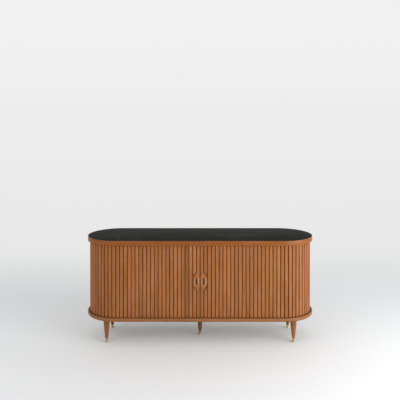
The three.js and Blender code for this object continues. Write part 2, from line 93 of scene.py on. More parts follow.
def paint(code: str) -> Colour:
    """Turns a colour written as on screen into the linear values of a shader.

    Args:
        code: Six hexadecimal digits, red first.

    Returns:
        Red, green, blue and an alpha of one, linear.
    """
    levels = [int(code[start:start + 2], 16) / 255 for start in (0, 2, 4)]
    linear = [v / 12.92 if v <= 0.04045 else ((v + 0.055) / 1.055) ** 2.4 for v in levels]
    return (linear[0], linear[1], linear[2], 1.0)


def meets(first: float, second: float) -> bool:
    """Says whether two distances are one."""
    return abs(first - second) < CLOSE


class Pick(Enum):
    """What a selection in edit mode is made of."""

    VERTICES = "VERT"
    EDGES = "EDGE"
    FACES = "FACE"


def deselect() -> None:
    """Leaves nothing selected in object mode."""
    bpy.ops.object.select_all(action="DESELECT")


def select_all(action: str = "SELECT") -> None:
    """Selects, or deselects, the whole of the piece in edit mode."""
    bpy.ops.mesh.select_all(action=action)


def activate(piece: bpy.types.Object) -> None:
    """Makes one piece the only one selected, and the active one.

    Args:
        piece: The piece.
    """
    deselect()
    piece.select_set(True)
    bpy.context.view_layer.objects.active = piece


@contextmanager
def editing(piece: bpy.types.Object) -> Iterator[None]:
    """Opens a piece in edit mode with nothing selected, and closes it again.

    Args:
        piece: The piece.
    """
    activate(piece)
    bpy.ops.object.mode_set(mode="EDIT")
    select_all("DESELECT")
    yield
    bpy.ops.object.mode_set(mode="OBJECT")


def pick_items(piece: bpy.types.Object, what: Pick, test: Callable[..., bool]) -> None:
    """Selects the vertices, edges or faces that pass a test, and nothing else.

    Args:
        piece: The piece, in edit mode.
        what: Vertices, edges or faces.
        test: Says of one of them whether it is selected.
    """
    bpy.ops.mesh.select_mode(type=what.value)
    select_all("DESELECT")
    mesh = bmesh.from_edit_mesh(piece.data)
    kinds = {Pick.VERTICES: mesh.verts, Pick.EDGES: mesh.edges, Pick.FACES: mesh.faces}
    for item in [item for item in kinds[what] if test(item)]:
        item.select_set(True)
    mesh.select_flush_mode()
    bmesh.update_edit_mesh(piece.data)


def pick(piece: bpy.types.Object, what: Pick, test: Test) -> None:
    """Selects what lies wholly in a place, and nothing else.

    Args:
        piece: The piece, in edit mode.
        what: Vertices, edges or faces.
        test: Says of a point whether it lies in the place.
    """
    if what is Pick.VERTICES:
        pick_items(piece, what, lambda vertex: test(vertex.co))
    else:
        pick_items(piece, what, lambda item: all(test(vertex.co) for vertex in item.verts))


def extrude(step: Place) -> None:
    """Extrudes what is selected by a step."""
    bpy.ops.mesh.extrude_region_move(TRANSFORM_OT_translate={"value": step})


def bevel(width: float, segments: int) -> None:
    """Rounds the selected edges of the piece in edit mode."""
    bpy.ops.mesh.bevel(offset=width, segments=segments, affect="EDGES")


def spin(steps: int, angle: float, centre: Place, axis: Place) -> None:
    """Sweeps what is selected anticlockwise by an angle about an axis that points at the viewer."""
    bpy.ops.mesh.spin(steps=steps, angle=-angle, center=centre, axis=axis)


def face_outwards() -> None:
    """Merges what is double in the piece in edit mode, and turns every face outwards."""
    select_all()
    bpy.ops.mesh.remove_doubles(threshold=CLOSE)
    bpy.ops.mesh.normals_make_consistent(inside=False)


def settled(name: str, scale: Sequence[float] = (1, 1, 1)) -> bpy.types.Object:
    """Names and sizes the new active object, and puts its place into its mesh.

    Args:
        name: The piece's name.
        scale: Its size along each axis of its own.

    Returns:
        The piece.
    """
    piece = bpy.context.active_object
    piece.name = name
    piece.data.name = name
    piece.scale = scale
    bpy.ops.object.transform_apply(location=True, rotation=True, scale=True)
    return piece


def block(name: str, low: Sequence[float], high: Sequence[float]) -> bpy.types.Object:
    """Makes a box between two corners.

    Args:
        name: The piece's name.
        low: Its lowest corner.
        high: Its highest corner.

    Returns:
        The piece.
    """
    deselect()
    middle = [(a + b) / 2 for a, b in zip(low, high)]
    size = [b - a for a, b in zip(low, high)]
    bpy.ops.mesh.primitive_cube_add(size=1, location=middle)
    return settled(name, size)


def ease(piece: bpy.types.Object, width: float, segments: int = 2, angle: float = 40) -> None:
    """Rounds every edge of a piece that is sharp.

    Args:
        piece: The piece.
        width: How far the rounding reaches.
        segments: Facets across the rounding.
        angle: How sharp an edge has to be, in degrees.
    """
    activate(piece)
    rounding = piece.modifiers.new("ease", "BEVEL")
    rounding.width = width
    rounding.segments = segments
    rounding.limit_method = "ANGLE"
    rounding.angle_limit = math.radians(angle)
    bpy.ops.object.modifier_apply(modifier=rounding.name)


class Carve(Enum):
    """What a tool does to a piece."""

    CUT = "DIFFERENCE"
    ADD = "UNION"


def carve(piece: bpy.types.Object, tool: bpy.types.Object, way: Carve = Carve.CUT) -> None:
    """Cuts the shape of a tool out of a piece, or adds it to the piece.

    Args:
        piece: The piece.
        tool: The shape, which stays.
        way: Whether it is cut out or added.
    """
    activate(piece)
    carving = piece.modifiers.new("carve", "BOOLEAN")
    carving.operation = way.value
    carving.object = tool
    bpy.ops.object.modifier_apply(modifier=carving.name)


def discard(*scraps: bpy.types.Object) -> None:
    """Removes patterns and tools that have done their work."""
    for scrap in scraps:
        bpy.data.objects.remove(scrap)


def twin(piece: bpy.types.Object, name: str, move: Matrix) -> bpy.types.Object:
    """Copies a piece, with a mesh of its own that is moved to its place.

    Args:
        piece: The pattern.
        name: The copy's name.
        move: From the pattern's place to the copy's.

    Returns:
        The copy.
    """
    copy = piece.copy()
    copy.data = piece.data.copy()
    copy.name = name
    copy.data.name = name
    copy.data.transform(move)
    bpy.context.collection.objects.link(copy)
    return copy


def turned(name: str, profile: Sequence[Span], steps: int) -> bpy.types.Object:
    """Turns a round piece about the upright axis through the origin.

    Args:
        name: The piece's name.
        profile: Radius and height of each step, from the lower end to the upper one.
        steps: Facets round the axis.

    Returns:
        The piece.
    """
    deselect()
    radius, height = profile[0]
    bpy.ops.mesh.primitive_circle_add(
        vertices=steps, radius=radius, fill_type="NGON", location=(0, 0, height)
    )
    piece = settled(name)
    with editing(piece):
        select_all()
        for (radius, height), (wider, higher) in pairwise(profile):
            extrude((0, 0, higher - height))
            share = wider / radius
            bpy.ops.transform.resize(value=(share, share, 1), center_override=(0, 0, higher))
        face_outwards()
    return piece


def mark(piece: bpy.types.Object, name: str, value_of: Callable[[Vector], float]) -> None:
    """Gives a piece values of a named attribute, for its material to read.

    Args:
        piece: The piece.
        name: The attribute's name.
        value_of: Gives a vertex's value from its place.
    """
    layer = piece.data.attributes.new(name, "FLOAT", "POINT")
    layer.data.foreach_set("value", [value_of(vertex.co) for vertex in piece.data.vertices])


def skin(node: str, wall: float) -> tuple[Span, Span]:
    """Gives the reach and the height of a wall just inside the outer face of a node.

    Args:
        node: The node of the frame.
        wall: How thick the wall is.

    Returns:
        Distances of its faces from the long axis, and the heights of its edges.
    """
    low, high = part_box(node)
    return (high.y - wall, high.y), (low.z, high.z)


@dataclass(frozen=True)
class Plan:
    """The plan of the cabinet: a straight stretch with a half circle at each end.

    Everything that goes round the cabinet keeps one distance, its reach, from the long axis.
    """

    half_straight: float
    band_reach: float
    end_steps: int = 56
    track_depth: float = 0.008

    def reach(self, point: Sequence[float]) -> float:
        """Gives the distance of a point from the straight part of the long axis."""
        return math.hypot(max(abs(point[0]) - self.half_straight, 0), point[1])

    def way_round(self, point: Sequence[float]) -> float:
        """Gives how far round the cabinet a point lies, from the middle of the front.

        Args:
            point: A place on or near the band.

        Returns:
            Metres along the band, anticlockwise seen from above.
        """
        x, y = point[0], point[1]
        half, arc = self.half_straight, HALF_TURN * self.band_reach
        if x > half:
            return half + (math.atan2(y, x - half) + QUARTER_TURN) * self.band_reach
        if x < -half:
            turn = math.atan2(y, x + half) % (2 * HALF_TURN) - QUARTER_TURN
            return 3 * half + arc + turn * self.band_reach
        if y > 0:
            return 2 * half + arc - x
        return x % self.whole_way

    @property
    def whole_way(self) -> float:
        """Gives the length once round the band."""
        return 4 * self.half_straight + 2 * HALF_TURN * self.band_reach

    def slab(self, name: str, node: str) -> bpy.types.Object:
        """Makes a flat slab with the cabinet's round ends.

        Args:
            name: The piece's name.
            node: The node of the frame whose depth and thickness it has.

        Returns:
            The piece.
        """
        low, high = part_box(node)
        halves = []
        for side in (-1, 1):
            deselect()
            middle = (side * self.half_straight, 0, low.z)
            bpy.ops.mesh.primitive_circle_add(
                vertices=2 * self.end_steps, radius=high.y, fill_type="NGON", location=middle
            )
            half = settled(name)
            with editing(half):
                select_all()
                bpy.ops.mesh.bisect(plane_co=middle, plane_no=(side, 0, 0), clear_inner=True)
            halves.append(half)
        activate(halves[0])
        halves[1].select_set(True)
        bpy.ops.object.join()
        piece = bpy.context.active_object
        with editing(piece):
            pick(piece, Pick.EDGES, lambda p: abs(p.x) < self.half_straight + CLOSE)
            bpy.ops.mesh.bridge_edge_loops()
            select_all()
            bpy.ops.mesh.dissolve_limited(angle_limit=FLAT, use_dissolve_boundaries=False)
            select_all()
            extrude((0, 0, high.z - low.z))
            face_outwards()
        return piece

    def track_panel(self, name: str, node: str, on_top: bool) -> bpy.types.Object:
        """Makes a panel with the groove that the slats' tenons run in.

        Args:
            name: The piece's name.
            node: The node of the frame that it stands for.
            on_top: Whether the groove goes down into its top, or up into its underside.

        Returns:
            The piece.
        """
        low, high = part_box(node)
        face, depth = (high.z, -self.track_depth) if on_top else (low.z, self.track_depth)
        outer = -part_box("right_door_bend_slat_1")[0].y
        width = SlatSizes().thickness

        def in_track(item: bmesh.types.BMFace) -> bool:
            """Says whether a face lies where the groove goes in."""
            middle = item.calc_center_median()
            return meets(middle.z, face) and outer - width < self.reach(middle) < outer

        panel = self.slab(name, node)
        with editing(panel):
            pick(panel, Pick.FACES, lambda p: meets(p.z, face))
            bpy.ops.mesh.inset(thickness=high.y - outer)
            bpy.ops.mesh.inset(thickness=width)
            pick_items(panel, Pick.FACES, in_track)
            extrude((0, 0, depth))
            face_outwards()
        return panel

    def wall(
        self, name: str, reach: Span, height: Span,
        side: int = 1, start: float = 0, whole: bool = False,
    ) -> bpy.types.Object:
        """Makes an upright wall that follows the plan round one end and, if whole, both ends.

        Args:
            name: The piece's name.
            reach: Distances of its two faces from the long axis.
            height: Its lower and upper edge.
            side: The end it starts at, 1 for the right.
            start: Where round that end it starts, in radians from its front.
            whole: Whether it goes on along the back and round the other end.

        Returns:
            The piece.
        """
        deselect()
        middle = (reach[0] + reach[1]) / 2
        centre = side * self.half_straight
        place = (
            centre + side * middle * math.sin(start),
            -middle * math.cos(start),
            (height[0] + height[1]) / 2,
        )
        bpy.ops.mesh.primitive_plane_add(
            size=1, location=place, rotation=(0, QUARTER_TURN, side * start)
        )
        piece = settled(name, (height[1] - height[0], reach[1] - reach[0], 1))
        sweep = HALF_TURN - start
        steps = math.ceil(self.end_steps * sweep / HALF_TURN)
        with editing(piece):
            select_all()
            spin(steps, side * sweep, (centre, 0, 0), (0, 0, 1))
            if whole:
                extrude((-2 * centre, 0, 0))
                spin(steps, side * sweep, (-centre, 0, 0), (0, 0, 1))
            face_outwards()
        return piece

    def ring(self, name: str, reach: Span, height: Span) -> bpy.types.Object:
        """Makes a band that goes all the way round.

        Args:
            name: The piece's name.
            reach: Distances of its inner and outer face from the long axis.
            height: Its lower and upper edge.

        Returns:
            The piece.
        """
        def on_front_end(point: Vector) -> bool:
            """Says whether a point lies on one of the two ends that meet along the front."""
            return point.y < 0 and meets(abs(point.x), self.half_straight)

        piece = self.wall(name, reach, height, whole=True)
        with editing(piece):
            pick(piece, Pick.FACES, on_front_end)
            bpy.ops.mesh.bridge_edge_loops()
            face_outwards()
        return piece

    def round_edge(
        self, piece: bpy.types.Object, reach: float, height: float, width: float, segments: int
    ) -> None:
        """Rounds the edge of a piece that goes round at one reach and height.

        Args:
            piece: The piece.
            reach: The edge's distance from the long axis.
            height: The edge's height.
            width: How far the rounding reaches.
            segments: Facets across the rounding.
        """
        def on_edge(point: Vector) -> bool:
            """Says whether a point lies on the edge."""
            return meets(point.z, height) and abs(self.reach(point) - reach) < FACET_PLAY

        with editing(piece):
            pick(piece, Pick.EDGES, on_edge)
            bevel(width, segments)

    def lay_grain(self, piece: bpy.types.Object) -> None:
        """Gives a piece a grain attribute that runs round with it, for its material to read.

        Args:
            piece: The piece.
        """
        mesh = piece.data
        layer = mesh.attributes.new("grain", "FLOAT_VECTOR", "CORNER")
        for face in mesh.polygons:
            middle = self.way_round(face.center)
            for loop in face.loop_indices:
                point = mesh.vertices[mesh.loops[loop].vertex_index].co
                way = self.way_round(point)
                way += self.whole_way * round((middle - way) / self.whole_way)
                layer.data[loop].vector = (way, self.reach(point), point.z)


@dataclass(frozen=True)
class Texture:
    """A noise: its features a metre, its finer layers, its stretch and how warped it is."""

    scale: float
    detail: float
    stretch: Place = (1, 1, 1)
    distortion: float = 0


class Recipe:
    """Builds the node tree of one material, a node at a time."""

    def __init__(self, name: str) -> None:
        """Starts a material with its shader alone.

        Args:
            name: The material's name.
        """
        self.material = bpy.data.materials.new(name)
        self.material.use_nodes = True
        self.tree = self.material.node_tree
        self.shader = self.tree.nodes["Principled BSDF"]

    def wire(self, node: bpy.types.Node, inputs: Inputs) -> bpy.types.Node:
        """Sets sockets of a node, or links them to others.

        Args:
            node: The node.
            inputs: Values, colour codes and links of its sockets, by name or number.

        Returns:
            The node.
        """
        for name, value in inputs.items():
            if isinstance(value, bpy.types.NodeSocket):
                self.tree.links.new(value, node.inputs[name])
            else:
                node.inputs[name].default_value = paint(value) if isinstance(value, str) else value
        return node

    def node(self, kind: str, inputs: Inputs, **settings: object) -> bpy.types.Node:
        """Adds a node.

        Args:
            kind: The node's type.
            inputs: Values, colour codes and links of its sockets, by name or number.
            settings: The node's own properties.

        Returns:
            The node.
        """
        made = self.tree.nodes.new(kind)
        for name, value in settings.items():
            setattr(made, name, value)
        return self.wire(made, inputs)

    def maths(self, operation: str, *values: object) -> bpy.types.NodeSocket:
        """Adds a sum and gives its result."""
        return self.node("ShaderNodeMath", dict(enumerate(values)), operation=operation).outputs[0]

    def product(self, first: object, second: object) -> bpy.types.NodeSocket:
        """Multiplies two values."""
        return self.maths("MULTIPLY", first, second)

    def parts(self, vector: bpy.types.NodeSocket) -> bpy.types.bpy_prop_collection:
        """Splits a vector into its X, Y and Z."""
        return self.node("ShaderNodeSeparateXYZ", {"Vector": vector}).outputs

    def noises(
        self, place: bpy.types.NodeSocket, *textures: Texture
    ) -> list[bpy.types.NodeSocket]:
        """Adds noises and gives their values.

        Args:
            place: Where they are read.
            textures: What each of them is like.

        Returns:
            A value round one half for each.
        """
        values = []
        for texture in textures:
            mapping = self.node("ShaderNodeMapping", {"Vector": place, "Scale": texture.stretch})
            inputs = {
                "Vector": mapping.outputs["Vector"], "Scale": texture.scale,
                "Detail": texture.detail, "Distortion": texture.distortion,
            }
            values.append(self.node("ShaderNodeTexNoise", inputs).outputs["Fac"])
        return values

    def fade(
        self, value: object, span: Span = NOISE_SPAN, to: Sequence[float] = (0, 1)
    ) -> bpy.types.NodeSocket:
        """Maps a value from one range to another and keeps it there.

        Args:
            value: The value's socket.
            span: The range that it comes from.
            to: The range that it goes to.

        Returns:
            The mapped value.
        """
        ends = zip(("From Min", "From Max", "To Min", "To Max"), (*span, *to))
        return self.node("ShaderNodeMapRange", {"Value": value, **dict(ends)}).outputs["Result"]

    def blend(self, share: object, first: object, second: object) -> bpy.types.NodeSocket:
        """Mixes two colours by a share of the second."""
        inputs = {MIX_SHARE: share, MIX_FIRST: first, MIX_SECOND: second}
        return self.node("ShaderNodeMix", inputs, data_type="RGBA").outputs[MIX_RESULT]

    def own(self, name: str, output: str = "Fac") -> bpy.types.NodeSocket:
        """Reads an attribute of the piece."""
        return self.node("ShaderNodeAttribute", {}, attribute_name=name).outputs[output]

    def place(self) -> bpy.types.NodeSocket:
        """Gives the place on the piece, in metres."""
        return self.node("ShaderNodeTexCoord", {}).outputs["Object"]

    def finish(
        self, inputs: Inputs, height: bpy.types.NodeSocket, relief: Span
    ) -> bpy.types.Material:
        """Sets the shader and gives the surface relief.

        Args:
            inputs: Values, colour codes and links of the shader's sockets.
            height: The relief's socket.
            relief: How much of it shows, and how deep it is in metres.

        Returns:
            The material.
        """
        bump = {"Height": height, "Strength": relief[0], "Distance": relief[1]}
        normal = self.node("ShaderNodeBump", bump).outputs["Normal"]
        self.wire(self.shader, {**inputs, "Normal": normal})
        return self.material


class Grain(Enum):
    """Which way the grain of a wooden piece runs."""

    UPRIGHT = "upright"
    LENGTHWISE = "lengthwise"
    ROUND = "round"


@dataclass(frozen=True)
class WoodFinish:
    """Satin oiled wood with streaks, fibres and pores along its grain.

    Mixed wood differs from piece to piece. Where its depth attribute says so it turns to its edge
    colour, a painted shade on the slats' sides in the gaps between them.
    """

    name: str
    slot: str
    pale: str
    deep: str
    grain: Grain
    roughness: float = 0.48
    gloss: float = 0.28
    mixed: bool = False
    # the colour of the painted shade on a slat's sides, in the gaps between the slats
    edge: str = "963604"
    under: str | None = None
    under_span: Span = (-0.5, -0.9)
    clouds: Texture = Texture(24, 2, (0.5, 1, 1))
    streaks: Texture = Texture(42, 3, (0.06, 1, 1), 0.5)
    fibres: Texture = Texture(420, 3, (0.02, 1, 1))
    pores: Texture = Texture(900, 1, (0.035, 1, 1))
    cloud_richness: Span = (1.04, 0.94)
    fibre_shades: Span = (0.9, 1.06)
    pore_span: Span = (0.62, 0.7)
    pore_shades: Span = (1, 0.72)
    polish: Span = (-0.05, 0.06)
    relief: Span = (0.3, 0.0004)
    grain_step: float = 97

    def build(self) -> bpy.types.Material:
        """Makes the material.

        Returns:
            The material.
        """
        recipe = Recipe(self.name)
        clouds, streaks, fibres, pores = recipe.noises(
            self.along_grain(recipe), self.clouds, self.streaks, self.fibres, self.pores
        )
        pore = recipe.fade(pores, self.pore_span)
        colour = recipe.blend(recipe.fade(streaks), self.deep, self.pale)
        shade = recipe.fade(fibres, to=self.fibre_shades)
        value = recipe.product(shade, recipe.fade(pore, (0, 1), self.pore_shades))
        richness = recipe.fade(clouds, to=self.cloud_richness)
        hue = HALF_WAY
        if self.mixed:
            # painted shade: away from the face the slat's sides turn to the edge colour, in the
            # gaps between slats
            colour = recipe.blend(recipe.own("depth"), colour, self.edge)
            value = recipe.product(value, recipe.own("tone"))
            richness = recipe.product(richness, recipe.own("richness"))
            hue = recipe.own("hue")
        if self.under:
            normal = recipe.node("ShaderNodeNewGeometry", {}).outputs["Normal"]
            down = recipe.fade(recipe.parts(normal)["Z"], self.under_span)
            colour = recipe.blend(down, colour, self.under)
        inputs = {"Hue": hue, "Saturation": richness, "Value": value, "Color": colour}
        tinted = recipe.node("ShaderNodeHueSaturation", inputs).outputs["Color"]
        rough = recipe.fade(fibres, to=[self.roughness + change for change in self.polish])
        inputs = {"Base Color": tinted, "Roughness": rough, "Specular IOR Level": self.gloss}
        return recipe.finish(inputs, recipe.maths("SUBTRACT", fibres, pore), self.relief)

    def along_grain(self, recipe: Recipe) -> bpy.types.NodeSocket:
        """Gives the place on the piece with the grain along the first axis.

        Args:
            recipe: The material that is being made.

        Returns:
            The place.
        """
        if self.grain is Grain.ROUND:
            return recipe.own("grain", "Vector")
        place = recipe.place()
        if self.grain is Grain.LENGTHWISE:
            return place
        parts = recipe.parts(place)
        along = parts["Z"]
        if self.mixed:
            shift = recipe.product(recipe.own("tone"), self.grain_step)
            along = recipe.maths("ADD", along, shift)
        inputs = {"X": along, "Y": parts["X"], "Z": parts["Y"]}
        return recipe.node("ShaderNodeCombineXYZ", inputs).outputs["Vector"]


@dataclass(frozen=True)
class StoneFinish:
    """Honed dark marble with soft clouds and a few fine veins."""

    name: str = "honed_marble"
    slot: str = "stone"
    ground: str = "10100c"
    cloud: str = "1d1d19"
    vein: str = "45443d"
    roughness: float = 0.58
    gloss: float = 0.04
    clouds: Texture = Texture(4, 6, (0.6, 1.4, 1), 0.6)
    run: Texture = Texture(2.6, 7, (0.8, 2.2, 1), 1.1)
    patches: Texture = Texture(3.1, 2)
    tooth: Texture = Texture(300, 3)
    cloud_span: Span = (0.35, 0.7)
    patch_span: Span = (0.46, 0.62)
    vein_width: float = 0.012
    vein_share: float = 0.6
    polish: float = 0.04
    relief: Span = (0.08, 0.0002)

    def build(self) -> bpy.types.Material:
        """Makes the material.

        Returns:
            The material.
        """
        recipe = Recipe(self.name)
        clouds, run, patches, tooth = recipe.noises(
            recipe.place(), self.clouds, self.run, self.patches, self.tooth
        )
        off = recipe.maths("ABSOLUTE", recipe.maths("SUBTRACT", run, HALF_WAY))
        line = recipe.fade(off, (0, self.vein_width), (1, 0))
        vein = recipe.product(line, recipe.fade(patches, self.patch_span))
        ground = recipe.blend(recipe.fade(clouds, self.cloud_span), self.ground, self.cloud)
        veined = recipe.blend(recipe.product(vein, self.vein_share), ground, self.vein)
        rough = recipe.fade(tooth, to=(self.roughness - self.polish, self.roughness + self.polish))
        inputs = {"Base Color": veined, "Roughness": rough, "Specular IOR Level": self.gloss}
        return recipe.finish(inputs, tooth, self.relief)


@dataclass(frozen=True)
class MetalFinish:
    """Turned or cast metal with a fine brushed surface and uneven ageing."""

    name: str
    slot: str
    bright: str
    dull: str
    roughness: float
    ageing: Texture = Texture(60, 4)
    brush: Texture = Texture(260, 2, (1, 1, 12))
    age_span: Span = (0.35, 0.65)
    age_share: float = 0.5
    wear_span: Span = (0.4, 1.1)
    polish: float = 0.07
    relief: Span = (0.1, 0.0002)

    def build(self) -> bpy.types.Material:
        """Makes the material.

        Returns:
            The material.
        """
        recipe = Recipe(self.name)
        ageing, brushed = recipe.noises(recipe.place(), self.ageing, self.brush)
        colour = recipe.blend(recipe.fade(ageing, self.age_span), self.dull, self.bright)
        wear = recipe.maths("ADD", recipe.product(ageing, self.age_share), brushed)
        ends = (self.roughness + self.polish, self.roughness - self.polish)
        rough = recipe.fade(wear, self.wear_span, ends)
        inputs = {"Base Color": colour, "Metallic": 1, "Roughness": rough}
        return recipe.finish(inputs, brushed, self.relief)


@dataclass(frozen=True)
class CanvasFinish:
    """Plain woven canvas, as glued to the backs of the slats."""

    name: str = "backing_canvas_painted_shade"
    # painted shade: warp and weft are deep red-browns that stand in for the shade in the gaps
    # between the slats
    warp: str = "6c2804"
    weft: str = "7e3208"
    threads: float = 900
    roughness: float = 0.95
    gloss: float = 0.15
    relief: Span = (0.5, 0.0003)

    def build(self) -> bpy.types.Material:
        """Makes the material.

        Returns:
            The material.
        """
        recipe = Recipe(self.name)
        parts = recipe.parts(recipe.place())
        ways = (recipe.maths("ADD", parts["X"], parts["Y"]), parts["Z"])
        turn = 2 * math.pi * self.threads
        across, up = (recipe.maths("SINE", recipe.product(way, turn)) for way in ways)
        weave = recipe.fade(recipe.product(across, up), (-1, 1))
        inputs = {
            "Base Color": recipe.blend(weave, self.warp, self.weft),
            "Roughness": self.roughness, "Specular IOR Level": self.gloss,
        }
        return recipe.finish(inputs, weave, self.relief)


Finish = WoodFinish | StoneFinish | MetalFinish | CanvasFinish

SLAT_WOOD = WoodFinish(
    "slat_oiled_wood", "slat_wood", "9d6435", "83522b", Grain.UPRIGHT, gloss=0.18, mixed=True
)
RIM_WOOD = WoodFinish(
    "rim_oiled_wood", "band_wood", "8b4d14", "7b430f", Grain.ROUND, roughness=0.38, gloss=0.24
)
LIP_WOOD = WoodFinish("lip_oiled_wood", "band_wood", "905c31", "7e4e27", Grain.ROUND)
PLATE_WOOD = WoodFinish("plate_oiled_wood", "band_wood", "a6632e", "8d5326", Grain.UPRIGHT)
LEG_WOOD = WoodFinish("leg_oiled_wood", "leg_wood", "9a5f30", "7c4922", Grain.UPRIGHT)
# painted shade: a darker copy of the leg wood for the rear and centre legs, which stand in the
# cabinet's shadow
SHADED_LEG_WOOD = WoodFinish("leg_painted_shade_wood", "leg_wood", "7d4b24", "663a1a", Grain.UPRIGHT)
SHELL_WOOD = WoodFinish(
    "shell_veneer", "inner_wood", "9a6638", "84542d", Grain.UPRIGHT, roughness=0.55
)
BOARD_WOOD = WoodFinish(
    "board_veneer", "inner_wood", "8a6642", "735333", Grain.LENGTHWISE, roughness=0.6
)
# painted shade: the top is darkened to give the shade line at the foot of the slats; the underside
# is a plain pale board
SHADED_BASE_WOOD = WoodFinish(
    "base_veneer_painted_shade", "inner_wood", "70431f", "5c3618", Grain.LENGTHWISE, roughness=0.6,
    under="a39b8b",
)
MARBLE = StoneFinish()
FOOT_BRASS = MetalFinish("satin_brass", "brass", "dac59a", "b29d73", 0.38)
RING_BRASS = MetalFinish("aged_brass", "brass", "c09166", "a3764e", 0.38)
ZINC = MetalFinish("plated_steel", "steel", "a9acb0", "8b8e92", 0.42)
CANVAS = CanvasFinish()


class Joinery:
    """Dresses finished pieces: shading, finish, body and the nodes they stand for."""

    def __init__(self) -> None:
        """Starts with no material made yet."""
        self.materials: dict[str, bpy.types.Material] = {}

    def coat(self, piece: bpy.types.Object, finish: Finish) -> None:
        """Gives a piece the material of a finish, which is made once.

        Args:
            piece: The piece.
            finish: How it looks.
        """
        if finish.name not in self.materials:
            self.materials[finish.name] = finish.build()
        piece.data.materials.clear()
        piece.data.materials.append(self.materials[finish.name])

    def fit(
        self, piece: bpy.types.Object, finish: Finish, body: str = "carcass", node: str = ""
    ) -> None:
        """Finishes a piece and hangs it on its body.

        Args:
            piece: The piece, in its place.
            finish: How it looks.
            body: The body that it moves with.
            node: The node of the frame that it stands for, if any.
        """
        activate(piece)
        bpy.ops.object.shade_smooth_by_angle(angle=SMOOTH)
        self.coat(piece, finish)
        if node:
            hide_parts(node)
        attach(piece, body)
        LOG.info("%s rides on %s", piece.name, body)

    def refinish(self, node: str, finish: Finish) -> None:
        """Gives a node of the frame that is shown as it is its finish."""
        self.coat(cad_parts[node], finish)
        LOG.info("%s keeps its own shape", node)


@dataclass
class CabinetTop:
    """The stone slab, the band round it and the panel under it."""

    plan: Plan
    joinery: Joinery
    band_wall: float = 0.0045
    band_ease: float = 0.0012
    inner_ease: float = 0.0004
    stone_ease: float = 0.0009

    def build(self) -> None:
        """Makes the three pieces."""
        low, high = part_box("top_band")
        inner = high.y - self.band_wall
        band = self.plan.ring("top_rim", *skin("top_band", self.band_wall))
        for height in (low.z, high.z):
            self.plan.round_edge(band, high.y, height, self.band_ease, segments=3)
            self.plan.round_edge(band, inner, height, self.inner_ease, segments=1)
        self.plan.lay_grain(band)
        self.joinery.fit(band, RIM_WOOD, node="top_band")
        _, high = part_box("stone_top")
        stone = self.plan.slab("stone_slab", "stone_top")
        self.plan.round_edge(stone, high.y, high.z, self.stone_ease, segments=3)
        self.joinery.fit(stone, MARBLE, node="stone_top")
        panel = self.plan.track_panel("top_board", "top_panel", on_top=False)
        self.joinery.fit(panel, BOARD_WOOD, node="top_panel")


@dataclass
class CabinetBase:
    """The base panel and the band round it."""

    plan: Plan
    joinery: Joinery
    band_wall: float = 0.007
    under_ease: float = 0.006
    lip_ease: float = 0.003

    def build(self) -> None:
        """Makes the two pieces."""
        low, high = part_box("base_band")
        band = self.plan.ring("base_rim", *skin("base_band", self.band_wall))
        self.plan.round_edge(band, high.y, high.z, self.lip_ease, segments=4)
        self.plan.round_edge(band, high.y, low.z, self.under_ease, segments=5)
        self.plan.lay_grain(band)
        self.joinery.fit(band, LIP_WOOD, node="base_band")
        panel = self.plan.track_panel("base_board", "base_panel", on_top=True)
        # the base panel's dark top is a painted shade at the foot of the slats
        self.joinery.fit(panel, SHADED_BASE_WOOD, node="base_panel")


